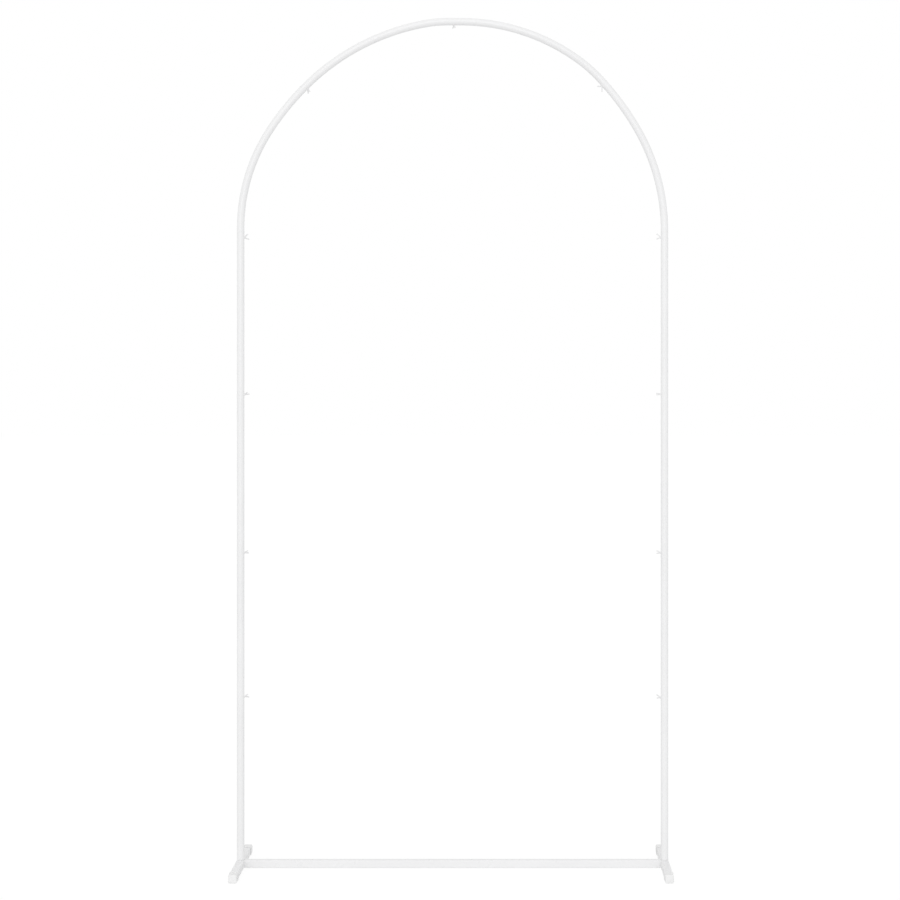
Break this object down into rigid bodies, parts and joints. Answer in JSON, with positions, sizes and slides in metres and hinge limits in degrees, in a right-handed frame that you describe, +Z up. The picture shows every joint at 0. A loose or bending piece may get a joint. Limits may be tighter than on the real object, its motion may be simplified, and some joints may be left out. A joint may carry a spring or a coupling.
{
  "type": "wedding arch",
  "caption": "Free-standing round-top arch of white steel tube on two square feet, with small wire hooks along its inner side for garlands.",
  "frame": {"origin": "on the floor, half way between the posts and half way along the feet", "axes": "+X from the left post to the right post seen from the front, -Y to the front, +Z up"},
  "size_m": [1.017, 0.334, 1.9971],
  "materials": {
    "white_tube": "satin white powder coat",
    "hook_wire": "satin white powder coat over bent wire and weld",
    "end_cap": "moulded matt white plastic",
    "bare_steel": "plain drawn steel, hidden inside the tubes"
  },
  "bodies": {
    "root": {"base_bar": "white_tube", "left_foot": "white_tube", "left_front_cap": "end_cap", "left_rear_cap": "end_cap", "left_foot_spigot": "bare_steel", "left_bar_spigot": "bare_steel", "left_lower_post": "white_tube", "left_upper_post": "white_tube", "left_arch_bend": "white_tube", "left_bend_hook": "hook_wire", "left_hook_1": "hook_wire", "left_hook_2": "hook_wire", "left_hook_3": "hook_wire", "left_hook_4": "hook_wire", "right_foot": "white_tube", "right_front_cap": "end_cap", "right_rear_cap": "end_cap", "right_foot_spigot": "bare_steel", "right_bar_spigot": "bare_steel", "right_lower_post": "white_tube", "right_upper_post": "white_tube", "right_arch_bend": "white_tube", "right_bend_hook": "hook_wire", "right_hook_1": "hook_wire", "right_hook_2": "hook_wire", "right_hook_3": "hook_wire", "right_hook_4": "hook_wire", "crown_hook": "hook_wire"}
  },
  "joints": []
}
